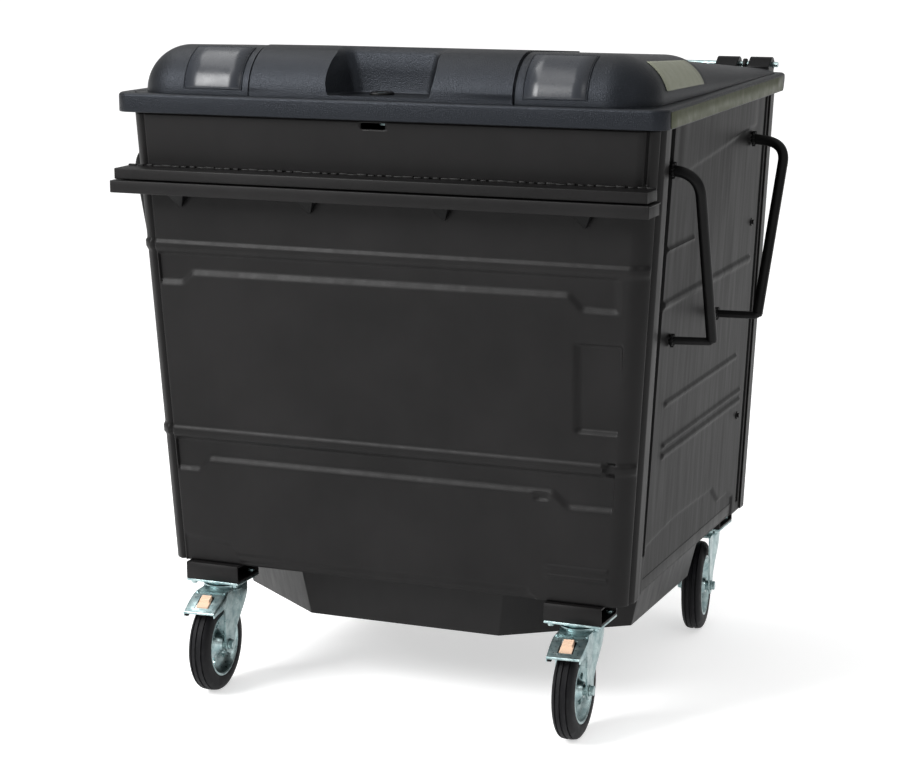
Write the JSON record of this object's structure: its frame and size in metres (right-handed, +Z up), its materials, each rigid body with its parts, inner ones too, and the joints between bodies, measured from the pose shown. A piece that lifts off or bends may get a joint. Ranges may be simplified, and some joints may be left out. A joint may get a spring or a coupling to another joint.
{
  "type": "four-wheeled refuse container",
  "caption": "Black steel refuse container on swivel castors, with tapered pressed walls, a front lifting rail, side tube handles and a hinged moulded plastic lid.",
  "frame": {"origin": "under the middle of the bounding box, on the ground", "axes": "+X to the right of someone facing the lifting rail, +Y from the rail to the hinge, +Z up"},
  "size_m": [1.256, 1.0579, 1.352],
  "materials": {
    "black_paint": "semi-gloss black paint on pressed steel",
    "lid_plastic": "pebbled black moulded polyethylene",
    "black_plastic": "smooth black moulding",
    "reflective_sheet": "glossy dark sheet",
    "side_reflective_sheet": "olive grey sheet",
    "zinc": "bright zinc plate",
    "tyre_rubber": "black solid rubber",
    "orange_plastic": "orange moulding"
  },
  "bodies": {
    "tub": {"front_panel": "black_paint", "rear_panel": "black_paint", "left_side_panel": "black_paint", "right_side_panel": "black_paint", "top_rim": "black_paint", "floor_pan": "black_paint", "rail_upper": "black_paint", "rail_lower": "black_paint", "rail_gusset_1": "black_paint", "rail_gusset_2": "black_paint", "rail_gusset_3": "black_paint", "rail_gusset_4": "black_paint", "handle_front_left": "black_paint", "handle_front_right": "black_paint", "handle_rear_left": "black_paint", "handle_rear_right": "black_paint", "hinge_rod": "zinc", "hinge_bracket_left": "black_paint", "hinge_bracket_right": "black_paint", "castor_mount_front_left": "black_paint", "castor_mount_front_right": "black_paint", "castor_mount_rear_left": "black_paint", "castor_mount_rear_right": "black_paint", "castor_plate_front_left": "zinc", "castor_plate_front_right": "zinc", "castor_plate_rear_left": "zinc", "castor_plate_rear_right": "zinc"},
    "lid": {"lid_shell": "lid_plastic", "front_panel_reflector_left": "reflective_sheet", "front_panel_reflector_right": "reflective_sheet", "side_reflector_left": "side_reflective_sheet", "side_reflector_right": "side_reflective_sheet", "hinge_hood_left": "black_plastic", "hinge_hood_right": "black_plastic"},
    "lock": {"lock_barrel": "zinc", "lock_cam": "zinc"},
    "swivel_front_left": {"castor_fork_front_left": "zinc", "axle_bolt_front_left": "zinc"},
    "wheel_front_left": {"wheel_bearing_front_left": "zinc", "wheel_rim_front_left": "zinc", "tyre_front_left": "tyre_rubber"},
    "brake_front_left": {"brake_pedal_front_left": "zinc", "brake_tab_front_left": "orange_plastic"},
    "swivel_front_right": {"castor_fork_front_right": "zinc", "axle_bolt_front_right": "zinc"},
    "wheel_front_right": {"wheel_bearing_front_right": "zinc", "wheel_rim_front_right": "zinc", "tyre_front_right": "tyre_rubber"},
    "brake_front_right": {"brake_pedal_front_right": "zinc", "brake_tab_front_right": "orange_plastic"},
    "swivel_rear_left": {"castor_fork_rear_left": "zinc", "axle_bolt_rear_left": "zinc"},
    "wheel_rear_left": {"wheel_bearing_rear_left": "zinc", "wheel_rim_rear_left": "zinc", "tyre_rear_left": "tyre_rubber"},
    "swivel_rear_right": {"castor_fork_rear_right": "zinc", "axle_bolt_rear_right": "zinc"},
    "wheel_rear_right": {"wheel_bearing_rear_right": "zinc", "wheel_rim_rear_right": "zinc", "tyre_rear_right": "tyre_rubber"}
  },
  "joints": [
    {"name": "lid_hinge", "type": "hinge", "parent": "tub", "child": "lid", "pos_m": [0, 0.5125, 1.27], "axis": [-1, 0, 0], "range_deg": [0, 250]},
    {"name": "lock_turn", "type": "hinge", "parent": "lid", "child": "lock", "pos_m": [-0.018, -0.3855, 1.262], "axis": [0, 0, -1], "range_deg": [0, 90]},
    {"name": "swivel_front_left_turn", "type": "hinge", "parent": "tub", "child": "swivel_front_left", "pos_m": [-0.403, -0.3835, 0.235], "axis": [0, 0, 1], "continuous": true},
    {"name": "wheel_front_left_spin", "type": "hinge", "parent": "swivel_front_left", "child": "wheel_front_left", "pos_m": [-0.39986, -0.42839, 0.1], "axis": [0.9976, 0.0698, 0], "continuous": true},
    {"name": "brake_front_left_press", "type": "hinge", "parent": "swivel_front_left", "child": "brake_front_left", "pos_m": [-0.39881, -0.44335, 0.21], "axis": [0.9976, 0.0698, 0], "range_deg": [0, 8]},
    {"name": "swivel_front_right_turn", "type": "hinge", "parent": "tub", "child": "swivel_front_right", "pos_m": [0.403, -0.3835, 0.235], "axis": [0, 0, 1], "continuous": true},
    {"name": "wheel_front_right_spin", "type": "hinge", "parent": "swivel_front_right", "child": "wheel_front_right", "pos_m": [0.40653, -0.42836, 0.1], "axis": [0.9969, 0.0785, 0], "continuous": true},
    {"name": "brake_front_right_press", "type": "hinge", "parent": "swivel_front_right", "child": "brake_front_right", "pos_m": [0.40771, -0.44332, 0.21], "axis": [0.9969, 0.0785, 0], "range_deg": [0, 8]},
    {"name": "swivel_rear_left_turn", "type": "hinge", "parent": "tub", "child": "swivel_rear_left", "pos_m": [-0.403, 0.4085, 0.235], "axis": [0, 0, 1], "continuous": true},
    {"name": "wheel_rear_left_spin", "type": "hinge", "parent": "swivel_rear_left", "child": "wheel_rear_left", "pos_m": [-0.4077, 0.36375, 0.1], "axis": [0.9945, -0.1045, 0], "continuous": true},
    {"name": "swivel_rear_right_turn", "type": "hinge", "parent": "tub", "child": "swivel_rear_right", "pos_m": [0.403, 0.4085, 0.235], "axis": [0, 0, 1], "continuous": true},
    {"name": "wheel_rear_right_spin", "type": "hinge", "parent": "swivel_rear_right", "child": "wheel_rear_right", "pos_m": [0.41004, 0.36405, 0.1], "axis": [0.9877, 0.1564, 0], "continuous": true}
  ]
}
